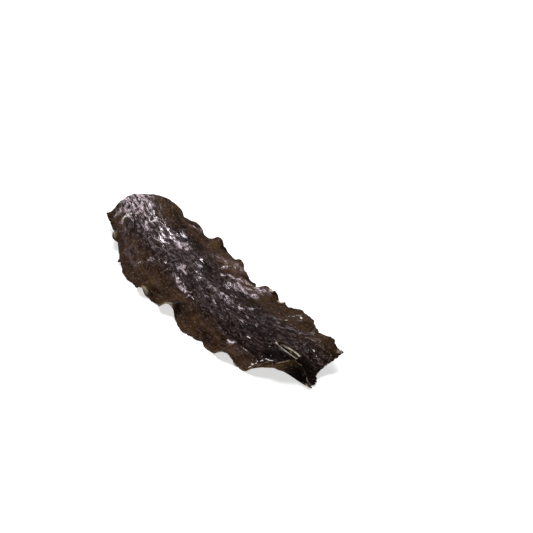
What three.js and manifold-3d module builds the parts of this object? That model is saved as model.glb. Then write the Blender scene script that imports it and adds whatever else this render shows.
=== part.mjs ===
// A dried strip of kombu, the broad flat blade of a kelp, cut across at both ends and lying on a table.
// It dried with an arch across its narrow end, waves along both thin margins, and one corner of its
// far end rolled in over itself. It grew as one piece, so it is one solid.
//
// Millimetres. +X runs along the strip from the arched end to the rolled end, +Y across it, +Z up.
// The origin is the middle of the strip's box, on the table.
//
// The strip is a sheet. At each place along it, its section starts on the centre line and is walked
// outwards to both margins. The sheet's slope there says how it climbs or falls on the way, so the
// sheet keeps its own width where it arches, waves and rolls.

import * as THREE from 'three';
import { mergeVertices } from 'three/addons/utils/BufferGeometryUtils.js';
import Module from 'manifold-3d';

// The strip's length along its centre line, and the half width of the thick band down its middle
const LENGTH = 282;
const BAND = 18;

// Thickness of the band, of the thin margins, and how far outside the band the one becomes the other
const BAND_THICKNESS = 2.2;
const MARGIN_THICKNESS = 0.9;
const THINNING = 10;

// The centre line, as [place along the strip, value]: its height, and how far it bows to one side
const RISE = [[-4, 25], [20, 23.5], [45, 19], [80, 14], [120, 11], [160, 9], [200, 7.5], [235, 6.8],
  [250, 7], [262, 4.5], [272, 4.6], [282, 5.5]];
const BOW = [[-4, -3], [40, -11], [80, -16], [130, -18], [170, -19], [200, -17.5], [240, -12], [282, -5]];

// How the section slopes, in degrees: its tilt to the right, and its arch in degrees for each mm outwards
const TILT = [[-4, -6], [40, -4], [90, -2], [160, 0], [220, 5], [250, 12], [282, 22.5]];
const ARCH = [[-4, 1.25], [30, 1], [60, 0.55], [100, 0.32], [150, 0.2], [220, 0.05], [260, -0.2],
  [282, -0.2]];

// The two margins. width is the sheet's own width from the centre line, and fall is how steeply the
// margin drops outside the band. A tatter is a small torn tooth or notch in the edge:
// [place, reach, out]. A wave turns the margin up or down: [place, reach, degrees up, slant].
const LEFT = {
  side: -1,
  width: [[-4, 38], [40, 40], [60, 45], [80, 49.5], [95, 47.5], [110, 46.5], [130, 44], [139, 43],
    [147, 38], [156, 40.5], [170, 43], [188, 39.5], [206, 40], [222, 37], [240, 35], [254, 28],
    [262, 30], [268, 28], [274, 23], [282, 13.5]],
  fall: [[-4, 15], [40, 15], [80, 16], [160, 14], [220, 12], [250, 2], [282, 3]],
  tatters: [[37, 4, 1.5], [61, 3, 2.5], [190, 4, -2]],
  waves: [[33, 9, 28, 0.2], [107, 10, 26, 0.2], [143, 13, 34, 0.1], [217, 16, 42, 0.2], [250, 13, 56, 0]],
};
const RIGHT = {
  side: 1,
  width: [[-4, 40], [20, 40], [40, 38.5], [60, 40], [85, 45], [110, 45.5], [120, 43], [132, 40], [150, 38],
    [170, 42], [182, 43.5], [195, 39], [206, 42], [216, 42], [228, 36], [238, 31], [248, 29.5],
    [256, 30], [266, 26], [282, 20]],
  fall: [[-4, 6], [40, 8], [80, 9], [110, 12], [160, 8], [220, 4], [250, -2], [282, -6]],
  tatters: [[146, 6, 4], [272, 5, 1.5]],
  waves: [[28, 10, -12, 0.4], [48, 12, 12, 0.4], [63, 9, -8, 0.4], [80, 12, 24, 0.3], [97, 9, -2, 0.3],
    [117, 15, 22, 0.3], [146, 10, -18, 0.3], [162, 12, 20, 0.3], [180, 10, -10, 0.3], [200, 12, 12, 0.3],
    [226, 14, 8, 0.3], [240, 8, -12, 0.3], [256, 12, 4, 0.3]],
};

// The rolled corner of the left margin: how far it turns over, in degrees, as [place, turn],
// how far out from the centre line the turn begins, and the width of sheet that it takes
const ROLL = [[247, 0], [251, 20], [255, 36], [262, 93], [270, 119.5], [282, 120]];
const ROLL_START = 10.7;
const ROLL_BEND = 6.3;

// The two cut ends, as [place across from -1 at the left edge to 1 at the right, shift along], and
// the share of the length at each end over which the sheet follows its cut
const CUT_ARCHED_END = [[-1, -2], [-0.8, 3.5], [-0.5, 4.5], [-0.2, 4.5], [0, 8], [0.5, 13], [1, 18]];
const CUT_ROLLED_END = [[-1, 0], [-0.7, -2.3], [-0.4, -2.3], [0, -8.5], [0.5, -9.5], [1, -8]];
const CUT_SHARE = 0.22;

// A split in the band near the rolled end, which opened as the strip dried
const SPLIT = { from: [228, -13.1], to: [254.5, -10.8], gape: 3.2, below: -4, above: 24 };

// How much of the lowest waves is pressed flat where the strip lies on the table
const PRESSED = 0.5;

// Rows of the mesh along the strip, and columns across it from the centre line to each margin
const ROWS = 96;
const LEFT_COLUMNS = 14;
const RIGHT_COLUMNS = 11;
const COLUMN_CROWDING = 0.85;
const WALK_STEPS = 32;

// A smooth curve through [x, value] points, read at x
function through(points, x) {
  const last = points.length - 1;
  const at = THREE.MathUtils.clamp(x, points[0][0], points[last][0]);
  let i = 0;
  while (i < last - 1 && points[i + 1][0] < at) i += 1;
  const slopeAt = (k) => {
    const [x0, y0] = points[Math.max(k - 1, 0)];
    const [x1, y1] = points[Math.min(k + 1, last)];
    return (y1 - y0) / (x1 - x0);
  };
  const [[x0, y0], [x1, y1]] = [points[i], points[i + 1]];
  const span = x1 - x0;
  const t = (at - x0) / span;
  const start = y0 * (1 + 2 * t) * (1 - t) ** 2 + slopeAt(i) * span * t * (1 - t) ** 2;
  return start + y1 * t * t * (3 - 2 * t) + slopeAt(i + 1) * span * t * t * (t - 1);
}

// One swell of a wave: 1 at its place, 0 at its reach and beyond
function swell(x, place, reach) {
  const t = THREE.MathUtils.clamp((x - place) / reach, -1, 1);
  return 0.5 + 0.5 * Math.cos(Math.PI * t);
}

const ease = THREE.MathUtils.smoothstep;

// The sheet's outward slope in degrees, at a place along it and a distance out from the centre line
function slope(margin, along, out) {
  const width = through(margin.width, along);
  let degrees = margin.side * through(TILT, along) - through(ARCH, along) * out;
  degrees -= through(margin.fall, along) * ease(out, BAND - 8, BAND + 10);
  for (const [place, reach, up, slant] of margin.waves) {
    const wave = swell(along - slant * (width - out), place, reach);
    degrees += up * wave * ease(out, BAND - 4, width);
  }
  if (margin === LEFT && along > ROLL[0][0]) {
    degrees += through(ROLL, along) * ease(out, ROLL_START, ROLL_START + ROLL_BEND);
  }
  return degrees;
}

// A point of the sheet's middle surface: walked outwards from the centre line along its section
function sheetPoint(margin, along, out) {
  const point = new THREE.Vector3(along, through(BOW, along), through(RISE, along));
  const step = out / WALK_STEPS;
  for (let k = 0; k < WALK_STEPS; k += 1) {
    const angle = THREE.MathUtils.degToRad(slope(margin, along, step * (k + 0.5)));
    point.y += margin.side * Math.cos(angle) * step;
    point.z += Math.sin(angle) * step;
  }
  return point;
}

// The point at a share of the length and a share of the width, -1 at the left edge to 1 at the right
function middlePoint(lengthShare, widthShare) {
  const margin = widthShare < 0 ? LEFT : RIGHT;
  const share = Math.abs(widthShare);
  const arched = through(CUT_ARCHED_END, widthShare) * (1 - ease(lengthShare, 0, CUT_SHARE));
  const rolled = through(CUT_ROLLED_END, widthShare) * ease(lengthShare, 1 - CUT_SHARE, 1);
  const along = LENGTH * lengthShare + arched + rolled;
  let edge = 0;
  for (const [place, reach, out] of margin.tatters) edge += out * swell(along, place, reach);
  return {
    point: sheetPoint(margin, along, share * through(margin.width, along) + edge * share ** 8),
    out: share * through(margin.width, along),
  };
}

// The upward normal of the middle surface, from its neighbours a short way along and across
function normalAt(lengthShare, widthShare) {
  const near = 0.003;
  const along = middlePoint(lengthShare + near, widthShare).point;
  along.sub(middlePoint(lengthShare - near, widthShare).point);
  const across = middlePoint(lengthShare, widthShare + near).point;
  across.sub(middlePoint(lengthShare, widthShare - near).point);
  return along.cross(across).normalize();
}

// The upper and the lower face at one grid point: half the thickness to each side of the middle
// surface, with the lowest waves pressed flat on the table
function facesAt(lengthShare, widthShare) {
  const { point, out } = middlePoint(lengthShare, widthShare);
  const normal = normalAt(lengthShare, widthShare);
  const thin = ease(out, BAND - 2, BAND + THINNING);
  const thickness = THREE.MathUtils.lerp(BAND_THICKNESS, MARGIN_THICKNESS, thin);
  const upper = point.clone().addScaledVector(normal, thickness / 2);
  const lower = point.clone().addScaledVector(normal, -thickness / 2);
  const raise = Math.max(0, PRESSED - lower.z);
  upper.z += raise;
  lower.z += raise;
  return [upper, lower];
}

// The columns across the strip, crowded a little towards the waved margins
function columns() {
  const shares = [];
  for (let j = LEFT_COLUMNS; j > 0; j -= 1) shares.push(-((j / LEFT_COLUMNS) ** COLUMN_CROWDING));
  for (let j = 0; j <= RIGHT_COLUMNS; j += 1) shares.push((j / RIGHT_COLUMNS) ** COLUMN_CROWDING);
  return shares;
}

// The whole sheet: two faces split into triangles alike, and the narrow wall round their rim
function bladeGeometry() {
  const shares = columns();
  const across = shares.length;
  const upper = [];
  const lower = [];
  for (let i = 0; i <= ROWS; i += 1) {
    for (const share of shares) {
      const [top, bottom] = facesAt(i / ROWS, share);
      upper.push(top);
      lower.push(bottom);
    }
  }
  const layer = upper.length;
  const index = [];
  for (let i = 0; i < ROWS; i += 1) {
    for (let j = 0; j < across - 1; j += 1) {
      const a = i * across + j;
      const b = a + across;
      const c = b + 1;
      const d = a + 1;
      index.push(a, b, c, a, c, d);
      index.push(layer + a, layer + c, layer + b, layer + a, layer + d, layer + c);
    }
  }
  const rim = [];
  for (let j = 0; j < across; j += 1) rim.push(j);
  for (let i = 1; i <= ROWS; i += 1) rim.push(i * across + across - 1);
  for (let j = across - 2; j >= 0; j -= 1) rim.push(ROWS * across + j);
  for (let i = ROWS - 1; i > 0; i -= 1) rim.push(i * across);
  rim.forEach((a, k) => {
    const b = rim[(k + 1) % rim.length];
    index.push(a, b, layer + b, a, layer + b, layer + a);
  });
  const positions = [...upper, ...lower].flatMap((p) => [p.x, p.y, p.z - PRESSED]);
  const geometry = new THREE.BufferGeometry();
  geometry.setAttribute('position', new THREE.Float32BufferAttribute(positions, 3));
  geometry.setIndex(index);
  return geometry;
}

// The split's outline, a slim lens pointed at both ends, run up through the sheet
function splitGeometry() {
  const from = new THREE.Vector2(...SPLIT.from);
  const to = new THREE.Vector2(...SPLIT.to);
  const middle = from.clone().lerp(to, 0.5);
  const sideways = to.clone().sub(from).rotateAround(new THREE.Vector2(), Math.PI / 2);
  sideways.setLength(SPLIT.gape);
  const right = middle.clone().add(sideways);
  const left = middle.clone().sub(sideways);
  const outline = new THREE.Shape();
  outline.moveTo(from.x, from.y);
  outline.quadraticCurveTo(left.x, left.y, to.x, to.y);
  outline.quadraticCurveTo(right.x, right.y, from.x, from.y);
  const depth = SPLIT.above - SPLIT.below;
  return new THREE.ExtrudeGeometry(outline, { depth, bevelEnabled: false, curveSegments: 6 })
    .translate(0, 0, SPLIT.below);
}

const wasm = await Module();
wasm.setup();

// A closed geometry as a solid that can be cut
function solidOf(geometry) {
  const bare = geometry.clone();
  bare.deleteAttribute('normal');
  bare.deleteAttribute('uv');
  const merged = mergeVertices(bare, 1e-4);
  return new wasm.Manifold(new wasm.Mesh({
    numProp: 3,
    vertProperties: merged.attributes.position.array,
    triVerts: new Uint32Array(merged.index.array),
  }));
}

// The blade with its split cut through, placed with the origin under its middle
function cutBlade() {
  const mesh = solidOf(bladeGeometry()).subtract(solidOf(splitGeometry())).getMesh();
  const geometry = new THREE.BufferGeometry();
  geometry.setAttribute('position', new THREE.BufferAttribute(mesh.vertProperties, 3));
  geometry.setIndex(new THREE.BufferAttribute(mesh.triVerts, 1));
  geometry.computeBoundingBox();
  const box = geometry.boundingBox;
  geometry.translate(-(box.min.x + box.max.x) / 2, -(box.min.y + box.max.y) / 2, -box.min.z);
  geometry.computeVertexNormals();
  return geometry;
}

const driedKelp = new THREE.MeshStandardMaterial({ color: 0x3d302a, roughness: 0.6, metalness: 0 });

const kombu = new THREE.Group();
const blade = new THREE.Mesh(cutBlade(), driedKelp);
blade.name = 'kombu_blade';
kombu.add(blade);

export default kombu;
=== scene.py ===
import math

import bmesh
import bpy
import numpy as np
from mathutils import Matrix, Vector, noise


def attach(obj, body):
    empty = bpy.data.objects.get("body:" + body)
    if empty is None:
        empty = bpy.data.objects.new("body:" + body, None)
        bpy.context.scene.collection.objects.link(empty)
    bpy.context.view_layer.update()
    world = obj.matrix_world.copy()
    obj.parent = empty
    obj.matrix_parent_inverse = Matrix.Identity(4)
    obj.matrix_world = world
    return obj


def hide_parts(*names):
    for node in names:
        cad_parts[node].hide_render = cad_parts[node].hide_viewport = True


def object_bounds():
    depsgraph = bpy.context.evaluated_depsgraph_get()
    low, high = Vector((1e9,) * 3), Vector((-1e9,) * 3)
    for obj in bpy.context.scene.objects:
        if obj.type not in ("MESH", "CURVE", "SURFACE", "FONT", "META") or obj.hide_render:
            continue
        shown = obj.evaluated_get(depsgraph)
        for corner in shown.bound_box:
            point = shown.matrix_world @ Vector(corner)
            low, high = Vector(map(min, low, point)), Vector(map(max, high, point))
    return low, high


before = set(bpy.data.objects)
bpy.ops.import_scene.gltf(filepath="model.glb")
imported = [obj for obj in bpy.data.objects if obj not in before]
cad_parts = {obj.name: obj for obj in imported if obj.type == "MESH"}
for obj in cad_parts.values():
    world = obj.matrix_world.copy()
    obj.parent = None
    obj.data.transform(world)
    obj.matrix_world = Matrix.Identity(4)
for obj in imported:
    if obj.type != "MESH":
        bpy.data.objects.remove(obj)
cad_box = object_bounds()

# A dried strip of kombu, the broad flat blade of a kelp. Its sheet is shaped by the same named values
# as the solid that it replaces, in millimetres, and then finished finer: ragged margins with small
# curls, drying wrinkles, a powdery bloom and crusts of salt, with painted sheen, highlights and shade.
# Places on the sheet are (along, across): along from the arched end, and across from the centre line,
# with minus to the left.

MM = 0.001
LEFT, RIGHT = -1, 1

# The strip's length before its ends are cut askew, the half width of its thick band, and how thick the
# sheet is in the band and at the margins
LENGTH = 282
BAND = 18
BAND_THICKNESS = 2.2
MARGIN_THICKNESS = 0.9

# How far outside the band's edge the thinning sets in and ends, the margins' fall spreads, and their
# waves set in
THINNING_START = -2
THINNING = 10
FALL_SPREAD = (-8, 10)
WAVE_START = -4

# The centre line: its height, and how far it bows to one side, as (along, value)
RISE = [(-4, 24.9), (20, 23.4), (45, 19), (80, 14), (120, 11), (160, 9), (200, 7.5), (235, 6.8), (250, 7),
        (262, 4.5), (272, 4.6), (282, 5.5)]
BOW = [(-4, -3), (40, -11), (80, -16), (130, -18), (170, -19), (200, -17.5), (240, -12), (282, -5)]

# How the section slopes, in degrees: its rise to the right, and its arch for each mm outwards
TILT = [(-4, -6), (40, -4), (90, -2), (160, 0), (220, 5), (250, 12), (282, 22.5)]
ARCH = [(-4, 1.25), (30, 1), (60, 0.55), (100, 0.32), (150, 0.2), (220, 0.05), (260, -0.2), (282, -0.2)]

# The two margins: the sheet's width from the centre line, and how steeply it falls outside the band
WIDTH = {
    LEFT: [(-4, 38), (40, 40), (60, 45), (80, 49.5), (95, 47.5), (110, 46.5), (130, 44), (139, 43),
           (147, 38), (156, 40.5), (170, 43), (188, 39.5), (206, 40), (222, 37), (240, 35), (254, 28),
           (262, 30), (268, 28), (274, 23), (282, 13.5)],
    RIGHT: [(-4, 40), (20, 40), (40, 38.5), (60, 40), (85, 45), (110, 45.5), (120, 43), (132, 40),
            (150, 38), (170, 42), (182, 43.5), (195, 39), (206, 42), (216, 42), (228, 36), (238, 31),
            (248, 29.5), (256, 30), (266, 26), (282, 20)],
}
FALL = {
    LEFT: [(-4, 15), (40, 15), (80, 16), (160, 14), (220, 12), (250, 2), (282, 3)],
    RIGHT: [(-4, 6), (40, 8), (80, 9), (110, 12), (160, 8), (220, 4), (250, -2), (282, -6)],
}

# Torn teeth and notches of the edge: (along, reach, out)
TATTERS = {
    LEFT: [(37, 4, 1.5), (61, 2, 3), (107, 2, 1), (190, 4, -2)],
    RIGHT: [(146, 6, 4), (272, 5, 1.5)],
}

# Waves that turn a margin up or down: (along, reach, degrees up, slant)
WAVES = {
    LEFT: [(33, 9, 28, 0.2), (107, 10, 26, 0.2), (143, 13, 34, 0.1), (217, 16, 42, 0.2), (250, 13, 56, 0)],
    RIGHT: [(28, 10, -12, 0.4), (48, 12, 12, 0.4), (63, 9, -8, 0.4), (80, 12, 24, 0.3), (97, 9, -2, 0.3),
            (117, 15, 22, 0.3), (146, 10, -18, 0.3), (162, 12, 20, 0.3), (180, 10, -10, 0.3),
            (200, 12, 12, 0.3), (226, 14, 8, 0.3), (240, 8, -12, 0.3), (256, 12, 4, 0.3)],
}

# Small curls of the very edge, finer than the waves: (along, reach, degrees up, depth from the edge)
CURLS = {
    LEFT: [(35, 3.5, 60, 5), (60.5, 2, 25, 4), (106, 3.5, 55, 6), (113, 4, 45, 7), (190, 2.5, 40, 4)],
    RIGHT: [(37, 4, -30, 7), (79, 4, 40, 6), (88, 3, -35, 6), (111, 4, 20, 6), (133, 4, 25, 5),
            (172, 4, 45, 6), (178, 3, -50, 6), (184, 3, 50, 5), (213, 4, 20, 5), (270, 5, 45, 6)],
}

# The rolled corner of the left margin: how far it turns over, as (along, degrees), how far from the
# centre line the turn starts, and its width
ROLL = [(247, 0), (251, 20), (255, 36), (262, 93), (270, 119.5), (282, 120)]
ROLL_START = 10.7
ROLL_BEND = 6.3

# The two cut ends, as (share of the width from -1 to 1, shift along), and the share of the length that
# each of them shifts
CUT_ARCHED_END = [(-1, -2), (-0.8, 3.5), (-0.5, 4.5), (-0.2, 4.5), (0, 8), (0.5, 13), (1, 18)]
CUT_ROLLED_END = [(-1, 0), (-0.7, -2.3), (-0.4, -2.3), (0, -8.5), (0.5, -9.5), (1, -8)]
CUT_SHARE = 0.22

# How much of the lowest waves is pressed flat on the table
PRESSED = 0.5

# How much thinner and smoother the sheet is at its very edge, as shares, and how far in that reaches
EDGE_THINNING = 0.3
EDGE_SMOOTHING = 0.5
EDGE_REACH = 3

# The split in the band: its two ends as (along, across), how far it gapes in the middle and at its
# tips, how far to each side the skin is drawn away from it and the middle line's shift reaches, how far
# past its ends that pull and that shift run out, as (before, after), the share of it that closes below,
# and its pale lips' width
SPLIT_START = (228.5, 0.8)
SPLIT_END = (253, -1.2)
SPLIT_GAPE = 3.2
SPLIT_TIP = 0.2
SPLIT_PULL = 7
SPLIT_SHIFT_REACH = 21
SPLIT_TAILS = (8, 8)
SPLIT_SHIFT = (25, 15)
SPLIT_CLOSING = 0.96
LIP_WIDTH = 0.8

# How the margins are frayed inwards, as (depth, length of a tooth, layer of the noise), and how steeply
# that and the tatters grow towards the edge
FRAYS = [(1.1, 6, 7.5), (0.275, 2, 8.5)]
EDGE_POWER = 8

# How the two cut ends are frayed: the depth and breadth of a tooth, the layer of the noise, the share of
# a tooth that is torn off everywhere, and the share of the length over which the teeth run out
END_FRAY = 1.2
END_FRAY_REACH = 4
END_FRAY_LAYER = 3.5
END_TORN = 0.4
END_FRAY_SHARE = 0.03

# Where noise is read for an edge: half the sheet's usual width, and how far apart the two margins are
HALF_WIDTH = 40
MARGINS_APART = 10

# The finished sheet's grid: rows along it, and columns across it, odd so that the split has its own,
# crowded towards the edges, and the steps in which its section is walked
ROWS = 436
COLUMNS = 109
COLUMN_CROWDING = 0.9
WALK_STEPS = 40

# The rim: how much the faces draw in at it, and how far it bulges, as shares of half the thickness
RIM_ROUNDING = 0.3
RIM_BULGE = 0.6

# The sheet's own map for its materials: the stretch that fills it, and where the centre line lies on it,
# of the upper side and of the underside beside it
MAP_SIZE = 300
UPPER_LINE = 50
LOWER_LINE = 200

# How much powder dried out on the band, as (along, share), and on the margins; on the arched end it is also
# painted sheen
BLOOM = [(-4, 1), (26, 0.75), (42, 0.3), (120, 0.12), (170, 0.08), (205, 0.02), (240, 0.02), (282, 0.02)]
BLOOM_MARGIN = 0.05

# How much less of it there is right of the band's middle, and where that change lies across the sheet
BLOOM_LESS = 0.85
BLOOM_CHANGE = (-4, 10)

# How much of the powder and of the salt crusts there is on the underside
UNDERSIDE = {"powder": 0.35, "crust": 0.15}

# How much glossy film there is on the band, as (along, share), and on the margins
FILM = [(-4, 0.25), (25, 0.35), (50, 0.85), (75, 1), (110, 0.95), (150, 0.6), (190, 0.25), (225, 0.12),
        (282, 0.08)]
FILM_MARGIN = 0.12

# How much less of it there is right of the band's middle, on the arched end and everywhere, and where
# those changes lie across the sheet, and along it
FILM_LESS_ARCHED, FILM_LESS = 0.8, 0.6
FILM_CHANGE_ARCHED, FILM_CHANGE = (-10, 8), (-2, 12)
FILM_ARCHED_END = (40, 90)

# How far marks stray along and across the sheet, and the noise that leads them, as (length, width, layer)
MARK_STRAY = (2.5, -1.75)
STRAY_SPOTS = (4, 3, 9.5)

# Marks on the skin, each a soft stroke: ((along, across), (along, across), reach, strength)
# Powder marks; many of them are painted sheen where the skin catches the light: the bright spots of the
# arched end and the upper band, and the crest and lobe of the right margin
POWDER_AND_SHEEN = [
    ((10, -13), (21, -8), 12, 1), ((9.5, -1), (14, -26), 9, 0.8), ((26, -26), (26, -16), 6, 0.8),
    ((45, -8), (45, -3), 7, 0.7), ((50, -12), (52, -14), 6, 0.7), ((66, -8), (70, -5), 9, 0.7),
    ((73, 5), (86, 4), 9, 0.75), ((84, 10), (90, 6), 8, 0.7), ((104, -8), (116, -9), 6, 0.7),
    ((116, -19), (143, -20), 3, 0.8), ((86, -22), (86, -27), 5, 0.7), ((152, -8), (159, -5), 8, 0.35),
    ((127, -3), (180, 5.6), 4, 0.5), ((134, 16), (141, 24), 4, 0.9), ((141, 24), (149, 36), 4, 0.9),
    ((148, 20), (166, 24), 11, 0.75), ((160, 34), (168, 34), 8, 0.7), ((123, 22), (124, 36), 3, 0.8),
    ((106, 28), (128, 34), 10, 0.42), ((205, -23), (209, -22), 4, 1), ((56, 27), (62, 36), 3, 0.8),
    ((35, -30), (75, -35), 16, 0.22), ((230, 6), (262, 10), 14, 0.12), ((200, 16), (255, 22), 12, 0.2),
]
CRUST = [
    ((26.6, -25.6), (26.5, -16.8), 1.4, 1), ((44, -7), (46, -3), 1.2, 0.9), ((79.5, -33), (80, -32), 1.2, 1),
    ((86, -22), (87, -23), 1.5, 1), ((204, -23), (208.5, -22), 1.6, 1), ((212, -11.5), (213, -11), 1.3, 1),
    ((214, 34), (215, 34), 1.1, 0.9), ((210, 23), (211, 24), 1.2, 0.9), ((237, 25), (239, 25), 1.1, 0.9),
    ((249, 21), (250, 21), 1.1, 0.8), ((255, 12), (256, 13), 1.2, 0.8), ((241, -34), (254, -31), 1.1, 0.75),
    # The two marks at 169 and 183 along are painted highlights on the knots of a curled edge
    ((169, 39), (170, 39), 1.6, 1), ((183, 39), (184, 39), 1.6, 1), ((237.8, -31), (236.8, -22.5), 1.2, 0.75),
    ((236.8, -22.5), (239.5, -17.7), 1.3, 0.75), ((239.5, -17.7), (245, -16), 1.3, 0.75),
    ((249.2, 9.1), (252, 9.5), 1.2, 0.9), ((260, 10.5), (263, 10.4), 1.1, 0.8),
]
AMBER = [
    ((174, 19), (176, 38), 9, 0.6), ((88, 34), (90, 38), 7, 0.6), ((127, 22), (130, 30), 6, 0.5),
    ((27, 15), (30, 25), 9, 0.4), ((5, 10), (50, 13), 16, 0.4), ((166, -29), (172, -33), 7, 0.5),
    ((107, -35), (112, -42), 6, 0.6), ((225, 26), (262, 20), 9, 0.5), ((250, -22), (262, -28), 6, 0.9),
    ((195, 25), (205, 36), 8, 0.4), ((110, 28), (124, 34), 8, 0.6), ((150, 36), (262, 24), 20, 0.35),
]
# Painted shade: the black gaps where the margins lift, the shade under the flap's folded tip, the low band,
# and the shadowed valley and face of the rolled corner
PAINTED_SHADE = [
    ((205, -2), (218, 1), 10, 0.8), ((37, 22), (40, 30), 7, 0.6), ((170, 41), (182, 41), 3, 0.9),
    ((258, -2), (278, -6), 14, 1), ((234, -12), (248, -6), 10, 1), ((268, -22), (280, -12), 11, 1),
    ((258, -12), (266, -14), 9, 1), ((147, -32), (152, -36), 6, 0.9), ((190, -33), (194, -38), 6, 0.6),
    ((138, 33), (145, 41), 4, 0.9), ((90, 41), (93, 44), 4, 0.9), ((50, 30), (56, 36), 5, 0.6),
    ((160, 32), (262, 22), 18, 0.4),
]
# Painted highlights on the lit edges of curls and waves and on the rolled corner's ridge, in the pale colour
# of the split's torn lips
PALE_AND_HIGHLIGHT = [
    ((168, 40), (170, 40), 2.6, 0.9), ((181, 40), (183, 41), 2.8, 1), ((110, -44), (115, -44), 2, 0.4),
    ((270, 24), (273, 24), 3, 0.6), ((33, -38), (37, -38), 2, 0.4), ((278, -14), (283, -13), 3, 0.8),
    ((130, -44), (140, -43), 2, 0.6), ((140, -43), (147, -38), 2, 0.6), ((211, -39), (230, -37), 2, 0.6),
    ((256, -29), (262, -30), 1.5, 0.5),
]

MARKS = {"powder": POWDER_AND_SHEEN, "crust": CRUST, "amber": AMBER, "dark": PAINTED_SHADE, "pale": PALE_AND_HIGHLIGHT}

# Raised seams of the skin, marked the same way, and their height
SEAMS = [
    ((90, -17), (116, -18.8), 2.2, 1), ((116, -18.8), (142, -19.8), 2.2, 1),
    ((142, -19.8), (177, -19.5), 2, 0.8), ((177, -19.5), (201, -23.5), 2, 1),
    ((127, -3), (180, 5.6), 1.8, 0.6), ((123.5, 20), (124, 37), 1.6, 1), ((59, 38), (60.5, 27), 1.8, 0.9),
    ((26.6, -26), (26.5, -16), 1.8, 0.7), ((104, -24), (113, -40), 1.8, 0.6),
    ((66, -12), (96, -2), 1.6, 0.5), ((30, 2), (70, 10), 1.8, 0.5),
]
SEAM_HEIGHT = 0.6

# The groove between the band and each margin: how far outside the band it lies, its reach and its depth
GROOVE_PLACE = 1.5
GROOVE_REACH = 2.5
GROOVE_DEPTH = 0.25

# The relief of the dried skin, as narrow ridges and soft swellings: their length and width, the layer of
# the noise that they are read from, and their height on the band and on the margins
RIDGES = {
    "furrows": (30, 5, 1.5, 0.08, 0),
    "creases": (8, 5, 4.5, 0.06, 0.12),
    "puckers": (9, 12, 5.5, 0, 0.35),
}
SWELLINGS = {
    "broad": (24, 10, 6.5, 0.45, 0.45),
    "small": (9, 5, 2.5, 0.135, 0.135),
    "ripples": (9, 2.6, 10.5, 0.2, 0.1),
}

# The strands in the skin: their length and width in mm, and how broad a line each is. The powder lies on
# threads and hairs, the salt also on strokes, and the veins show everywhere.
STRANDS = {
    "threads": {"Length": 14, "Width": 1.4, "Line": 0.22},
    "hairs": {"Length": 6, "Width": 1.1, "Line": 0.22},
    "strokes": {"Length": 10, "Width": 4.5, "Line": 0.05},
    "veins": {"Length": 7, "Width": 2.2, "Line": 0.065},
}

# Its mottling: the length and width of the spots in mm, and where they set in and are full
MOTTLES = {
    "grain": {"Length": 4, "Width": 2, "Low": 0.4, "High": 0.64},
    "sparkle": {"Length": 2.6, "Width": 1.4, "Low": 0.42, "High": 0.58},
    "specks": {"Length": 1.8, "Width": 1.2, "Low": 0.76, "High": 0.8},
    "dust": {"Length": 8, "Width": 1.5, "Low": 0.48, "High": 0.72},
    "patches": {"Length": 16, "Width": 7, "Low": 0.35, "High": 0.65},
    "spread": {"Length": 7, "Width": 4, "Low": 0.4, "High": 0.62},
    "ripples": {"Length": 9, "Width": 2.6, "Low": 0.25, "High": 0.75},
}
NOISE_DETAIL = 0.5
RIPPLE_HEIGHT = 0.22

# How one pattern or mark changes with another, as (from, to, result at from, result at to)
AMBER_BY_TONE = (0, 1, 0.6, 1)
# The painted shade in the relief's hollows, from how deep they are
SHADE_BY_RELIEF = (0.1, -0.35, 0, 0.7)
VEIN_BY_SPARKLE = (0, 1, 0.06, 0.5)
VEIN_BY_SHADE = (0, 1, 1, 0)
REACH_BY_SPREAD = (0, 1, 0.3, 1)
POWDER_BY_SPARKLE = (0, 1, 0.3, 1)
POWDER_BY_REACH = (0, 0.45, 0.12, 1)
STROKE_BY_REACH = (0.02, 0.5, 0, 0.9)
STROKE_BY_MARGIN = (0, 1, 1, 0.3)
SHEEN_HAZE_BY_MARGIN = (0, 1, 0.06, 0.2)
FILM_BY_SPREAD = (0, 1, 0.3, 1)
FILM_BY_HAIRS = (0, 0.8, 0.25, 1)

# The share of the patches in the skin's tone, the grain giving the rest, and the strength of the hairs
# and specks of powder
PATCH_SHARE = 0.6
HAIR_STRENGTH = 0.92
SPECK_STRENGTH = 0.6

# How near a strand's middle the powder starts where there is little of it, how much farther out where
# there is much, and how softly
POWDER_START = 0.98
POWDER_SPREADING = 0.5
POWDER_SOFTNESS = 0.2

# How much of a crust's mark and of a pale one shows where there is no grain, and where a crust sets in
# and is full
CRUST_EVENNESS = 0.4
PALE_AND_HIGHLIGHT_EVENNESS = 0.5
CRUST_EDGE = (0.3, 0.5)

# How the skin shines: its own roughness, what powder adds to it, how strongly the bare skin mirrors, and
# the glossy film's strength and roughness
SKIN_ROUGHNESS = 0.4
POWDER_ROUGHNESS = 0.3
SKIN_MIRRORING = 0.02
FILM_STRENGTH = 0.6
FILM_ROUGHNESS = 0.11

# The rim's spots, the height on it where its upper corner starts and is full, its roughness, and how deep
# and how strong its pits are
RIM_SPOTS = {"Length": 2.5, "Width": 2.5, "Low": 0.42, "High": 0.62}
RIM_CORNER = (0.75, 0.95)
RIM_ROUGHNESS = (0.5, 0.65)
RIM_PITS = 0.2
RIM_PIT_STRENGTH = 0.5

# Colours of the dried kelp, as linear light
BAND_BLACK = (0.003, 0.0015, 0.001)
BAND_BROWN = (0.017, 0.008, 0.005)
MARGIN_DARK = (0.016, 0.006, 0.002)
MARGIN_BROWN = (0.060, 0.031, 0.015)
AMBER_BROWN = (0.080, 0.040, 0.006)
# Near black, for the painted shade in hollows, gaps and folds
PAINTED_SHADE_BLACK = (0.004, 0.002, 0.001)
# Lilac powder, also the colour of the painted sheen
POWDER_AND_SHEEN_LILAC = (0.76, 0.63, 0.68)
CRUST_WHITE = (0.80, 0.76, 0.74)
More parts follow.
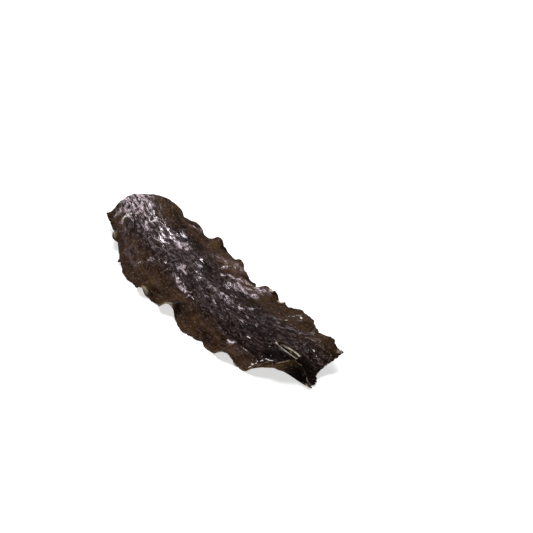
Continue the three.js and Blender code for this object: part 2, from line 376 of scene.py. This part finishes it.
# Pale torn skin, also the colour of the painted highlights on lit edges
PALE_FLESH_AND_HIGHLIGHT = (0.80, 0.71, 0.52)
DUST_BROWN = (0.042, 0.025, 0.021)
VEIN_LILAC = (0.20, 0.15, 0.145)
VEIN_TAN = (0.17, 0.12, 0.085)
# Dark spots of the rim, also its painted shade below the pale lips and lit edges
RIM_DARK = (0.012, 0.007, 0.004)
RIM_TAN = (0.30, 0.21, 0.12)

# The studio: a white table, a broad soft light over the strip, a small one lower down behind it that
# brings out its sheen, and a dim room
FLOOR_WHITE = (0.80, 0.80, 0.80)
FLOOR_GLOW = 0.8
FLOOR_ROUGHNESS = 0.6
FLOOR_REACH = 4
LIGHT_DISTANCE = 1.4
SOFT_LIGHT = {"azimuth": 235, "elevation": 70, "size": 0.8, "power": 18, "colour": (1, 1, 1),
              "mirrored": False}
SHEEN_LIGHT = {"azimuth": 230, "elevation": 40, "size": 0.12, "power": 3.4, "colour": (1, 0.9, 0.98),
               "mirrored": True}
ROOM_COLOUR = (1, 0.98, 0.97)
ROOM_STRENGTH = 0.06

# The photograph's view: the image's width and height in pixels, the camera's focal length in pixels, its
# sensor in mm, the nearest that it sees, in metres, where it stands from the sheet's own origin, in mm, and
# the direction that it looks from, in degrees
IMAGE_PIXELS = 533
FOCAL_PIXELS = 1371
SENSOR_WIDTH = 36
NEAREST = 0.05
CAMERA_PLACE = (912.5, -461, 605.1)
VIEW_AZIMUTH = 57.3
VIEW_ELEVATION = 33


def through(points, x):
    """A smooth curve through (x, value) points, read at each x."""
    xs, ys = np.array(points, float).T
    slopes = np.empty(len(xs))
    slopes[1:-1] = (ys[2:] - ys[:-2]) / (xs[2:] - xs[:-2])
    slopes[0] = (ys[1] - ys[0]) / (xs[1] - xs[0])
    slopes[-1] = (ys[-1] - ys[-2]) / (xs[-1] - xs[-2])
    x = np.clip(x, xs[0], xs[-1])
    i = np.clip(np.searchsorted(xs, x, side="right") - 1, 0, len(xs) - 2)
    span = xs[i + 1] - xs[i]
    t = (x - xs[i]) / span
    start = ys[i] * (1 + 2 * t) * (1 - t) ** 2 + slopes[i] * span * t * (1 - t) ** 2
    return start + ys[i + 1] * t * t * (3 - 2 * t) + slopes[i + 1] * span * t * t * (t - 1)


def swell(x, place, reach):
    """One swell of a wave: 1 at its place, 0 at its reach and beyond."""
    return 0.5 + 0.5 * np.cos(math.pi * np.clip((x - place) / reach, -1, 1))


def ease(x, start, end):
    """0 up to the start, 1 from the end on, and smooth between them."""
    t = np.clip((x - start) / (end - start), 0, 1)
    return t * t * (3 - 2 * t)


def by_side(side, values, x):
    """A curve given for each margin, read for the side that each point is on."""
    return np.where(side < 0, through(values[LEFT], x), through(values[RIGHT], x))


def slope(side, along, out):
    """The sheet's outward slope in degrees, at a distance out from the centre line."""
    width = by_side(side, WIDTH, along)
    degrees = side * through(TILT, along) - through(ARCH, along) * out
    degrees = degrees - by_side(side, FALL, along) * ease(out, BAND + FALL_SPREAD[0], BAND + FALL_SPREAD[1])
    for margin, waves in WAVES.items():
        for place, reach, up, slant in waves:
            wave = swell(along - slant * (width - out), place, reach) * ease(out, BAND + WAVE_START, width)
            degrees = degrees + np.where(side == margin, up * wave, 0)
    for margin, curls in CURLS.items():
        for place, reach, up, depth in curls:
            curl = swell(along, place, reach) * ease(out, width - depth, width)
            degrees = degrees + np.where(side == margin, up * curl, 0)
    turn = np.where(along > ROLL[0][0], through(ROLL, along), 0)
    turn = turn * ease(out, ROLL_START, ROLL_START + ROLL_BEND)
    return degrees + np.where(side == LEFT, turn, 0)


def sheet_points(side, along, out):
    """The sheet's middle surface, walked outwards from the centre line along its section."""
    y = through(BOW, along)
    z = through(RISE, along)
    step = out / WALK_STEPS
    for k in range(WALK_STEPS):
        angle = np.radians(slope(side, along, step * (k + 0.5)))
        y = y + side * np.cos(angle) * step
        z = z + np.sin(angle) * step
    return np.stack([along, y, z], -1)


def fade(x, start, end):
    """1 up to the start, 0 from the end on, and smooth between them."""
    return 1 - ease(x, start, end)


def soft_noise(along, across, length, width, layer):
    """Smooth noise from about -1 to 1, in spots of that length along the sheet and width across it."""
    along, across = np.broadcast_arrays(along / length, across / width)
    values = [noise.noise(Vector((a, b, layer))) for a, b in zip(along.flat, across.flat)]
    return np.array(values).reshape(along.shape)


def ridge_noise(along, across, length, width, layer):
    """Noise in narrow ridges, 1 on their crests and 0 in the broad hollows between them."""
    return (1 - np.abs(soft_noise(along, across, length, width, layer)) * 2).clip(0, 1) ** 2


def marked(marks, along, across):
    """How much each place is touched by marks, which are soft strokes that wander over the sheet."""
    stray = soft_noise(along, across, *STRAY_SPOTS)
    along, across = along + MARK_STRAY[0] * stray, across + MARK_STRAY[1] * stray
    total = np.zeros(along.shape)
    for start, end, reach, strength in marks:
        run = np.subtract(end, start)
        share = ((along - start[0]) * run[0] + (across - start[1]) * run[1]) / max(run @ run, 1e-6)
        share = share.clip(0, 1)
        distance = np.hypot(along - start[0] - share * run[0], across - start[1] - share * run[1])
        total = np.maximum(total, strength * fade(distance, 0, reach))
    return total


def column_shares():
    """Each column's share of the width, from -1 at the left edge to 1 at the right."""
    steps = (np.arange(COLUMNS + 1) - COLUMNS / 2) / (COLUMNS / 2)
    return np.sign(steps) * np.abs(steps) ** COLUMN_CROWDING


def flat_places():
    """Where each grid point of the sheet lies, along and across it, before the split draws it aside."""
    length_share = np.linspace(0, 1, ROWS + 1)[:, None]
    width_share = column_shares()[None, :]
    side = np.where(width_share < 0, LEFT, RIGHT)
    arched = through(CUT_ARCHED_END, width_share) * fade(length_share, 0, CUT_SHARE)
    rolled = through(CUT_ROLLED_END, width_share) * ease(length_share, 1 - CUT_SHARE, 1)
    along = LENGTH * length_share + arched + rolled
    teeth = ridge_noise(0, width_share * HALF_WIDTH, 1, END_FRAY_REACH, END_FRAY_LAYER)
    torn = END_FRAY * (END_TORN + teeth)
    along = along + torn * (fade(length_share, 0, END_FRAY_SHARE) - ease(length_share, 1 - END_FRAY_SHARE, 1))
    width = by_side(side, WIDTH, along)
    edge = np.zeros(along.shape)
    for margin, tatters in TATTERS.items():
        for place, reach, out in tatters:
            edge += np.where(side == margin, out * swell(along, place, reach), 0)
    for depth, tooth, layer in FRAYS:
        edge -= depth * ridge_noise(along, side * MARGINS_APART, tooth, 1, layer)
    across = side * (np.abs(width_share) * width + edge * np.abs(width_share) ** EDGE_POWER)
    return along, across


def by_split(along, before, after):
    """1 beside the split, and down to 0 at that far before and after it."""
    rising = ease(along, SPLIT_START[0] - before, SPLIT_START[0])
    return rising * fade(along, SPLIT_END[0], SPLIT_END[0] + after)


def drawn_aside(along, across):
    """Where the skin lies across the sheet once the split has drawn it to both sides."""
    share = ((along - SPLIT_START[0]) / (SPLIT_END[0] - SPLIT_START[0])).clip(0, 1)
    middle = SPLIT_START[1] + (SPLIT_END[1] - SPLIT_START[1]) * share
    middle = middle * by_split(along, *SPLIT_SHIFT) * fade(np.abs(across), 0, SPLIT_SHIFT_REACH)
    lip = np.abs(across[:, COLUMNS // 2 : COLUMNS // 2 + 1])
    gape = (SPLIT_TIP + (SPLIT_GAPE - SPLIT_TIP) * 4 * share * (1 - share)) / 2
    away = (1 - (np.abs(across) - lip) / (SPLIT_PULL - lip)).clip(0, 1)
    return across + middle + np.sign(across) * (gape - lip) * by_split(along, *SPLIT_TAILS) * away


def in_split(along):
    """The rows of cells that the split runs through."""
    middle = along[:, COLUMNS // 2]
    return (middle[:-1] >= SPLIT_START[0]) & (middle[1:] <= SPLIT_END[0])


def sheet_fields():
    """Everything about the sheet that the mesh and its finish need, on one grid of rows and columns."""
    along, across = flat_places()
    shut = in_split(along)
    across = drawn_aside(along, across)
    side = np.where(across < 0, LEFT, RIGHT)
    out = np.abs(across)
    width = np.abs(np.where(side < 0, across[:, :1], across[:, -1:]))
    margin = ease(out, BAND + THINNING_START, BAND + THINNING)
    to_edge = np.minimum(width - out, np.minimum(along - along[0], along[-1] - along))
    edge = fade(to_edge, 0, EDGE_REACH)
    lip_rows = np.append(shut, False) | np.append(False, shut)

    fields = {"along": along, "across": across, "split_rows": shut, "margin": margin}
    for name, marks in MARKS.items():
        fields[name] = marked(marks, along, across)
    fields["powder"] = np.maximum(fields["powder"], bloom(along, across, margin))
    fields["pale"] = np.maximum(fields["pale"], torn_lips(out, lip_rows))
    fields["film"] = glossy_film(along, across, margin)
    fields["relief"] = relief(along, across, margin) * (1 - EDGE_SMOOTHING * edge)

    points = sheet_points(side, along, out)
    points = points + normals_of(points) * fields["relief"][..., None]
    normals = normals_of(points)
    thickness = BAND_THICKNESS + (MARGIN_THICKNESS - BAND_THICKNESS) * margin
    thickness = thickness * (1 - EDGE_THINNING * edge)
    points[..., 2] += (PRESSED - (points - normals * thickness[..., None] / 2)[..., 2]).clip(0)
    fields["points"] = points
    fields["normals"] = normals
    fields["thickness"] = thickness
    fields["outwards"] = outwards(points, shut)
    half = thickness / 2 * (1 - RIM_ROUNDING)
    fields["closing"] = split_closing(points - normals * half[..., None], lip_rows)
    return fields


def torn_lips(out, lip_rows):
    """The pale skin beside the split, 1 on its two lips."""
    lips = np.zeros(out.shape)
    beside = out[lip_rows]
    lips[lip_rows] = fade(np.abs(beside - beside[:, COLUMNS // 2 : COLUMNS // 2 + 1]), 0, LIP_WIDTH)
    return lips


def split_closing(lower, lip_rows):
    """How far each lip's lower side comes over towards the other one, so that the split closes below."""
    left, right = COLUMNS // 2, COLUMNS // 2 + 1
    gap = np.linalg.norm(lower[lip_rows, right] - lower[lip_rows, left], axis=-1)
    closing = np.zeros(lower.shape[:2])
    closing[lip_rows, left : right + 1] = SPLIT_CLOSING * gap[:, None] / 2
    return closing


def bloom(along, across, margin):
    """How much powder dried out on the skin at large, with painted sheen on the arched end: most there, and
    little on the margins.
    """
    band = through(BLOOM, along) * (1 - BLOOM_LESS * ease(across, *BLOOM_CHANGE))
    return band * (1 - margin) + BLOOM_MARGIN * margin


def glossy_film(along, across, margin):
    """How much of the skin is covered by a glossy dried film, most of all left of the band's middle."""
    arched = FILM_LESS_ARCHED * ease(across, *FILM_CHANGE_ARCHED) * fade(along, *FILM_ARCHED_END)
    band = through(FILM, along) * (1 - arched) * (1 - FILM_LESS * ease(across, *FILM_CHANGE))
    return band * (1 - margin) + FILM_MARGIN * margin


def relief(along, across, margin):
    """How far the dried skin stands above or below the smooth sheet, in mm."""
    height = SEAM_HEIGHT * marked(SEAMS, along, across)
    height -= GROOVE_DEPTH * fade(np.abs(np.abs(across) - BAND - GROOVE_PLACE), 0, GROOVE_REACH)
    for kind, spots in ((ridge_noise, RIDGES), (soft_noise, SWELLINGS)):
        for length, width, layer, on_band, on_margin in spots.values():
            share = on_band * (1 - margin) + on_margin * margin
            height += share * kind(along, across, length, width, layer)
    return height


def normals_of(points):
    """The upward normals of a surface given on a grid."""
    normals = np.cross(np.gradient(points, axis=0), np.gradient(points, axis=1))
    return normals / np.linalg.norm(normals, axis=-1, keepdims=True)


def outwards(points, split_rows):
    """At each point of the rim, the way out of the sheet; nothing elsewhere."""
    way = np.zeros(points.shape)
    way[:, 0] += points[:, 0] - points[:, 1]
    way[:, -1] += points[:, -1] - points[:, -2]
    way[0] += points[0] - points[1]
    way[-1] += points[-1] - points[-2]
    left, right = COLUMNS // 2, COLUMNS // 2 + 1
    rows = np.append(split_rows, False) & np.append(False, split_rows)
    way[rows, left] = points[rows, left] - points[rows, left - 1]
    way[rows, right] = points[rows, right] - points[rows, right + 1]
    return way / np.maximum(np.linalg.norm(way, axis=-1, keepdims=True), 1e-9)


def sheet_mesh(split_rows):
    """A flat grid of the sheet's cells, open along the split, doubled and closed round its rim."""
    made = bmesh.new()
    bmesh.ops.create_grid(made, x_segments=ROWS, y_segments=COLUMNS, size=0.5)
    opened = [f for f in made.faces if is_split_cell(f.calc_center_median(), split_rows)]
    bmesh.ops.delete(made, geom=opened, context="FACES")
    lifted = bmesh.ops.extrude_face_region(made, geom=made.faces[:], use_keep_orig=True)
    upper = [v for v in lifted["geom"] if isinstance(v, bmesh.types.BMVert)]
    bmesh.ops.translate(made, verts=upper, vec=(0, 0, 1))
    walls = [e for e in made.edges if abs(e.verts[0].co.z - e.verts[1].co.z) > 0.5]
    bmesh.ops.subdivide_edges(made, edges=walls, cuts=1)
    bmesh.ops.recalc_face_normals(made, faces=made.faces[:])
    mesh = bpy.data.meshes.new("kombu_blade")
    made.to_mesh(mesh)
    made.free()
    return mesh


def is_split_cell(centre, split_rows):
    """Whether a cell of the flat grid, known by its middle, is open in the split."""
    row = math.floor((centre.x + 0.5) * ROWS)
    column = math.floor((centre.y + 0.5) * COLUMNS)
    return column == COLUMNS // 2 and bool(split_rows[row])


def mesh_places(mesh):
    """Each vertex's row and column in the grid, and its layer from -1 below to 1 above."""
    flat = np.empty(len(mesh.vertices) * 3, np.float32)
    mesh.vertices.foreach_get("co", flat)
    flat = flat.reshape(-1, 3)
    rows = np.rint((flat[:, 0] + 0.5) * ROWS).astype(int)
    columns = np.rint((flat[:, 1] + 0.5) * COLUMNS).astype(int)
    return rows, columns, np.rint(flat[:, 2] * 2 - 1)


def add_attribute(mesh, name, values):
    """A number at each vertex, which a material can read by its name."""
    mesh.attributes.new(name, "FLOAT", "POINT").data.foreach_set("value", values.astype(np.float32))


def frame_shift(fields):
    """How the sheet moves from its own millimetres to its place in the frame."""
    points = fields["points"].reshape(-1, 3) * MM
    low, high = points.min(0), points.max(0)
    centre = (np.array(cad_box[0]) + np.array(cad_box[1])) / 2
    shift = centre - (low + high) / 2
    shift[2] = -PRESSED * MM
    return shift


def make_blade(fields, shift):
    """The whole blade: its mesh bent into shape, with its map and the marks that its finish reads."""
    mesh = sheet_mesh(fields["split_rows"])
    rows, columns, layer = mesh_places(mesh)
    here = rows, columns
    half = fields["thickness"][here] / 2
    rim = np.linalg.norm(fields["outwards"][here], axis=-1)
    lift = layer * half * (1 - RIM_ROUNDING * rim)
    points = fields["points"][here] + fields["normals"][here] * lift[:, None]
    closing = fields["closing"][here]
    bulge = np.where(closing > 0, closing * (1 - layer) / 2, (layer == 0) * half * RIM_BULGE)
    points += fields["outwards"][here] * bulge[:, None]
    mesh.vertices.foreach_set("co", (points * MM + shift).astype(np.float32).ravel())

    for name in ("margin", "relief", "powder", "film", "crust", "amber", "dark", "pale"):
        add_attribute(mesh, name, fields[name][here] * np.where(layer < 0, UNDERSIDE.get(name, 1), 1))
    add_attribute(mesh, "upper", (layer + 1) / 2)
    map_sheet(mesh, fields["along"][here], fields["across"][here], layer)
    mark_rim(mesh, layer)
    mesh.polygons.foreach_set("use_smooth", np.ones(len(mesh.polygons), bool))
    mesh.update()
    return new_object("dried_kombu_blade", mesh)


def corner_vertices(mesh):
    """The vertex of each corner of the mesh's faces."""
    corners = np.empty(len(mesh.loops), np.int32)
    mesh.loops.foreach_get("vertex_index", corners)
    return corners


def map_sheet(mesh, along, across, layer):
    """The sheet's own map, in shares of its size, with the underside beside the upper side."""
    corners = corner_vertices(mesh)
    places = np.stack([along, across + np.where(layer < 0, LOWER_LINE, UPPER_LINE)], -1) / MAP_SIZE
    mesh.uv_layers.new(name="SheetMap").data.foreach_set("uv", places[corners].astype(np.float32).ravel())


def mark_rim(mesh, layer):
    """The rim's faces take the second material."""
    starts = np.empty(len(mesh.polygons), np.int32)
    mesh.polygons.foreach_get("loop_start", starts)
    on_rim = np.logical_or.reduceat(layer[corner_vertices(mesh)] == 0, starts)
    mesh.polygons.foreach_set("material_index", on_rim.astype(np.int32))


def new_object(name, mesh):
    """An object of the scene with that mesh."""
    made = bpy.data.objects.new(name, mesh)
    bpy.context.scene.collection.objects.link(made)
    return made


def add_node(tree, kind, inputs=None, **settings):
    """A node with its settings, and with its inputs set to a value or joined to another node's output."""
    made = tree.nodes.new(kind)
    for name, value in settings.items():
        setattr(made, name, value)
    for name, value in (inputs or {}).items():
        feed(tree, made.inputs[name], value)
    return made


def feed(tree, socket, value):
    """Sets a socket to a value, or joins it to another node's output."""
    if isinstance(value, bpy.types.NodeSocket):
        tree.links.new(value, socket)
    elif socket.type == "RGBA":
        socket.default_value = (*value, 1)
    else:
        socket.default_value = value


def work_out(tree, operation, *values):
    """The result of a Math node, kept between 0 and 1."""
    made = add_node(tree, "ShaderNodeMath", operation=operation, use_clamp=True)
    for socket, value in zip(made.inputs, values):
        feed(tree, socket, value)
    return made.outputs[0]


def times(tree, first, second):
    return work_out(tree, "MULTIPLY", first, second)


def plus(tree, first, second):
    return work_out(tree, "ADD", first, second)


def greater(tree, first, second):
    return work_out(tree, "MAXIMUM", first, second)


def mix_colours(tree, share, first, second):
    """The first colour, with that share of the second."""
    made = add_node(tree, "ShaderNodeMix", data_type="RGBA")
    feed(tree, made.inputs[0], share)
    feed(tree, made.inputs[6], first)
    feed(tree, made.inputs[7], second)
    return made.outputs[2]


def between(tree, value, low, high, to_low=0, to_high=1):
    """A value's place between a low and a high one, smoothly, brought to another range."""
    made = add_node(tree, "ShaderNodeMapRange", interpolation_type="SMOOTHSTEP")
    for socket, number in zip(made.inputs, (value, low, high, to_low, to_high)):
        feed(tree, socket, number)
    return made.outputs[0]


def read_mark(tree, name):
    """One of the numbers that the mesh keeps at its vertices."""
    return add_node(tree, "ShaderNodeAttribute", attribute_name=name).outputs["Fac"]


def new_group(name, numbers):
    """A group that turns a place and some numbers into a mask: still empty, with its two end nodes."""
    group = bpy.data.node_groups.new(name, "ShaderNodeTree")
    group.interface.new_socket("Vector", in_out="INPUT", socket_type="NodeSocketVector")
    for label, value in numbers.items():
        group.interface.new_socket(label, in_out="INPUT", socket_type="NodeSocketFloat").default_value = value
    group.interface.new_socket("Mask", in_out="OUTPUT", socket_type="NodeSocketFloat")
    return group, group.nodes.new("NodeGroupInput").outputs, group.nodes.new("NodeGroupOutput").inputs["Mask"]


def place_group(tree, group, place, numbers):
    """The mask that a group gives at a place."""
    made = add_node(tree, "ShaderNodeGroup", node_tree=group)
    feed(tree, made.inputs["Vector"], place)
    for label, value in numbers.items():
        feed(tree, made.inputs[label], value)
    return made.outputs["Mask"]


def spots_of(group, given):
    """Noise from 0 to 1, in spots of the group's own length along the sheet and width across it."""
    width = given["Width"]
    size = add_node(group, "ShaderNodeCombineXYZ", {"X": given["Length"], "Y": width, "Z": width})
    ends = {0: given["Vector"], 1: size.outputs[0]}
    scaled = add_node(group, "ShaderNodeVectorMath", ends, operation="DIVIDE")
    numbers = {"Vector": scaled.outputs[0], "Scale": 1, "Detail": NOISE_DETAIL}
    return add_node(group, "ShaderNodeTexNoise", numbers).outputs["Fac"]


def grain_group():
    """Mottling by noise that may be drawn out along the sheet, from 0 to 1."""
    group, given, mask = new_group("drawn_mottle", MOTTLES["grain"])
    feed(group, mask, between(group, spots_of(group, given), given["Low"], given["High"]))
    return group


def strand_group():
    """Wandering strands along the sheet: 1 on the middle of each, and 0 from its edge on."""
    group, given, mask = new_group("dried_strands", STRANDS["veins"])
    off = add_node(group, "ShaderNodeMath", {0: spots_of(group, given), 1: 0.5}, operation="SUBTRACT")
    off = work_out(group, "ABSOLUTE", off.outputs[0])
    feed(group, mask, work_out(group, "SUBTRACT", 1, work_out(group, "DIVIDE", off, given["Line"])))
    return group


def sheet_millimetres(tree):
    """Places on the sheet's own map, in millimetres."""
    sheet = add_node(tree, "ShaderNodeUVMap", uv_map="SheetMap")
    scaled = add_node(tree, "ShaderNodeMapping", {"Vector": sheet.outputs[0], "Scale": (MAP_SIZE,) * 3})
    return scaled.outputs[0]


def object_millimetres(tree):
    """Places on the object, in millimetres."""
    place = add_node(tree, "ShaderNodeTexCoord")
    scaled = add_node(tree, "ShaderNodeMapping", {"Vector": place.outputs["Object"], "Scale": (1 / MM,) * 3})
    return scaled.outputs[0]


def new_material(name):
    """A material with its node tree and its shader."""
    material = bpy.data.materials.new(name)
    material.use_nodes = True
    tree = material.node_tree
    return material, tree, tree.nodes["Principled BSDF"]


def skin_patterns(tree, mottle, strands):
    """Every strand and mottle of the skin, on the sheet's own map."""
    place = sheet_millimetres(tree)
    patterns = {name: place_group(tree, strands, place, sizes) for name, sizes in STRANDS.items()}
    patterns.update({name: place_group(tree, mottle, place, sizes) for name, sizes in MOTTLES.items()})
    return patterns


def bare_skin(tree, patterns, margin):
    """The skin's colour under its powder: near black on the band, olive brown on the margins, veined, and
    with painted shade in its hollows and gaps.
    """
    tone = times(tree, patterns["patches"], PATCH_SHARE)
    tone = plus(tree, tone, times(tree, patterns["grain"], 1 - PATCH_SHARE))
    band = mix_colours(tree, tone, BAND_BLACK, BAND_BROWN)
    band = mix_colours(tree, patterns["dust"], band, DUST_BROWN)
    colour = mix_colours(tree, margin, band, mix_colours(tree, tone, MARGIN_DARK, MARGIN_BROWN))
    amber = times(tree, read_mark(tree, "amber"), between(tree, tone, *AMBER_BY_TONE))
    colour = mix_colours(tree, amber, colour, AMBER_BROWN)
    # Painted shade: darker in the relief's hollows and where the marks of painted shade lie
    shade_mask = between(tree, read_mark(tree, "relief"), *SHADE_BY_RELIEF)
    shade_mask = greater(tree, shade_mask, read_mark(tree, "dark"))
    colour = mix_colours(tree, shade_mask, colour, PAINTED_SHADE_BLACK)
    veins = times(tree, patterns["veins"], between(tree, patterns["sparkle"], *VEIN_BY_SPARKLE))
    veins = times(tree, veins, between(tree, shade_mask, *VEIN_BY_SHADE))
    return mix_colours(tree, veins, colour, mix_colours(tree, margin, VEIN_LILAC, VEIN_TAN))


def dried_powder_and_sheen(tree, patterns, margin):
    """How much of the skin the powder and painted sheen hide: powder on its strands, salt in strokes and in
    specks that also paint glints, and a haze that paints sheen.
    """
    reach = times(tree, read_mark(tree, "powder"), between(tree, patterns["spread"], *REACH_BY_SPREAD))
    fine = greater(tree, patterns["threads"], times(tree, patterns["hairs"], HAIR_STRENGTH))
    start = work_out(tree, "SUBTRACT", POWDER_START, times(tree, reach, POWDER_SPREADING))
    powder = between(tree, fine, start, plus(tree, start, POWDER_SOFTNESS))
    powder = times(tree, powder, between(tree, patterns["sparkle"], *POWDER_BY_SPARKLE))
    powder = times(tree, powder, between(tree, reach, *POWDER_BY_REACH))
    strokes = times(tree, patterns["strokes"], between(tree, reach, *STROKE_BY_REACH))
    strokes = times(tree, strokes, between(tree, margin, *STROKE_BY_MARGIN))
    salt = greater(tree, strokes, times(tree, patterns["specks"], SPECK_STRENGTH))
    # A haze of painted sheen over the marked places, strongest on the margins
    painted_sheen_haze = times(tree, reach, between(tree, margin, *SHEEN_HAZE_BY_MARGIN))
    return greater(tree, greater(tree, powder, salt), painted_sheen_haze)


def kelp_skin(mottle, strands):
    """Dried kelp: its bare skin, with powder and painted sheen, crusts of salt, pale torn places and painted
    highlights on lit edges, and a glossy film on it.
    """
    material, tree, shader = new_material("dried_kelp_skin")
    patterns = skin_patterns(tree, mottle, strands)
    margin = read_mark(tree, "margin")
    powder = dried_powder_and_sheen(tree, patterns, margin)
    crust = times(tree, read_mark(tree, "crust"), plus(tree, patterns["grain"], CRUST_EVENNESS))
    crust = between(tree, crust, *CRUST_EDGE)
    pale = times(tree, read_mark(tree, "pale"), plus(tree, patterns["grain"], PALE_AND_HIGHLIGHT_EVENNESS))
    colour = bare_skin(tree, patterns, margin)
    for share, covering in ((powder, POWDER_AND_SHEEN_LILAC), (crust, CRUST_WHITE), (pale, PALE_FLESH_AND_HIGHLIGHT)):
        colour = mix_colours(tree, share, colour, covering)
    feed(tree, shader.inputs["Base Color"], colour)

    dull = times(tree, greater(tree, powder, crust), POWDER_ROUGHNESS)
    feed(tree, shader.inputs["Roughness"], plus(tree, dull, SKIN_ROUGHNESS))
    film = times(tree, read_mark(tree, "film"), between(tree, patterns["spread"], *FILM_BY_SPREAD))
    film = times(tree, film, between(tree, patterns["hairs"], *FILM_BY_HAIRS))
    feed(tree, shader.inputs["Coat Weight"], times(tree, film, FILM_STRENGTH))
    shader.inputs["Coat Roughness"].default_value = FILM_ROUGHNESS
    shader.inputs["Specular IOR Level"].default_value = SKIN_MIRRORING
    add_bump(tree, shader, patterns["ripples"], RIPPLE_HEIGHT, 1)
    return material


def add_bump(tree, shader, height, millimetres, strength):
    """A fine relief on the shader, of that height."""
    numbers = {"Height": height, "Strength": strength, "Distance": millimetres * MM}
    feed(tree, shader.inputs["Normal"], add_node(tree, "ShaderNodeBump", numbers).outputs[0])


def torn_rim(mottle):
    """The sheet's rim: spotted dark and tan, with painted shade where the pale marks lie, and cream at its
    upper corner there, for the split's torn lips and as a painted highlight on lit edges.
    """
    material, tree, shader = new_material("torn_kelp_rim")
    spots = place_group(tree, mottle, object_millimetres(tree), RIM_SPOTS)
    pale = read_mark(tree, "pale")
    colour = mix_colours(tree, spots, RIM_DARK, RIM_TAN)
    # Painted shade on the rim below the pale lips and the lit edges
    colour = mix_colours(tree, pale, colour, RIM_DARK)
    cream = times(tree, pale, between(tree, read_mark(tree, "upper"), *RIM_CORNER))
    feed(tree, shader.inputs["Base Color"], mix_colours(tree, cream, colour, PALE_FLESH_AND_HIGHLIGHT))
    feed(tree, shader.inputs["Roughness"], between(tree, spots, 0, 1, *RIM_ROUGHNESS))
    add_bump(tree, shader, spots, RIM_PITS, RIM_PIT_STRENGTH)
    return material


def studio_floor():
    """A white table, far wider than the view."""
    made = bmesh.new()
    bmesh.ops.create_grid(made, x_segments=1, y_segments=1, size=FLOOR_REACH)
    mesh = bpy.data.meshes.new("studio_floor")
    made.to_mesh(mesh)
    made.free()
    material, tree, shader = new_material("white_table")
    shader.inputs["Base Color"].default_value = (*FLOOR_WHITE, 1)
    shader.inputs["Roughness"].default_value = FLOOR_ROUGHNESS
    shader.inputs["Specular IOR Level"].default_value = 0
    shader.inputs["Emission Color"].default_value = (*FLOOR_WHITE, 1)
    shader.inputs["Emission Strength"].default_value = FLOOR_GLOW
    mesh.materials.append(material)
    floor = new_object("studio_floor", mesh)
    floor.visible_glossy = False


def toward(azimuth, elevation):
    """The direction to something seen at that azimuth and elevation, in degrees."""
    azimuth, elevation = math.radians(azimuth), math.radians(elevation)
    return Vector((math.sin(azimuth) * math.cos(elevation), -math.cos(azimuth) * math.cos(elevation),
                   math.sin(elevation)))


def add_light(name, azimuth, elevation, size, power, colour, mirrored):
    """A round soft light that faces the strip, and that its glossy skin may mirror or not."""
    light = bpy.data.lights.new(name, "AREA")
    light.shape = "DISK"
    light.size = size
    light.energy = power
    light.color = colour
    lamp = bpy.data.objects.new(name, light)
    lamp.visible_glossy = mirrored
    back = toward(azimuth, elevation)
    lamp.location = Vector((cad_box[0] + cad_box[1]) / 2) + back * LIGHT_DISTANCE
    lamp.rotation_mode = "QUATERNION"
    lamp.rotation_quaternion = back.to_track_quat("Z", "Y")
    bpy.context.scene.collection.objects.link(lamp)


def studio_light():
    """The two lights, and the dim room round them."""
    add_light("soft_light", **SOFT_LIGHT)
    add_light("sheen_light", **SHEEN_LIGHT)
    world = bpy.data.worlds.new("dim_room")
    world.use_nodes = True
    room = world.node_tree.nodes["Background"].inputs
    room["Color"].default_value = (*ROOM_COLOUR, 1)
    room["Strength"].default_value = ROOM_STRENGTH
    bpy.context.scene.world = world
    bpy.context.scene.view_settings.view_transform = "Standard"


def camera(shift):
    """The photograph's view: where the camera stands over the table, and how it looks down."""
    back = toward(VIEW_AZIMUTH, VIEW_ELEVATION)
    lens = bpy.data.cameras.new("camera")
    lens.sensor_width = SENSOR_WIDTH
    lens.lens = FOCAL_PIXELS * SENSOR_WIDTH / IMAGE_PIXELS
    lens.clip_start = NEAREST
    stand = bpy.data.objects.new("camera", lens)
    stand.location = Vector(CAMERA_PLACE) * MM + Vector(shift)
    stand.rotation_mode = "QUATERNION"
    stand.rotation_quaternion = back.to_track_quat("Z", "Y")
    bpy.context.scene.collection.objects.link(stand)
    bpy.context.scene.camera = stand


sheet = sheet_fields()
to_frame = frame_shift(sheet)
camera(to_frame)
studio_floor()
studio_light()
mottle = grain_group()
strands = strand_group()
blade = make_blade(sheet, to_frame)
blade.data.materials.append(kelp_skin(mottle, strands))
blade.data.materials.append(torn_rim(mottle))
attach(blade, "root")
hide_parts("kombu_blade")
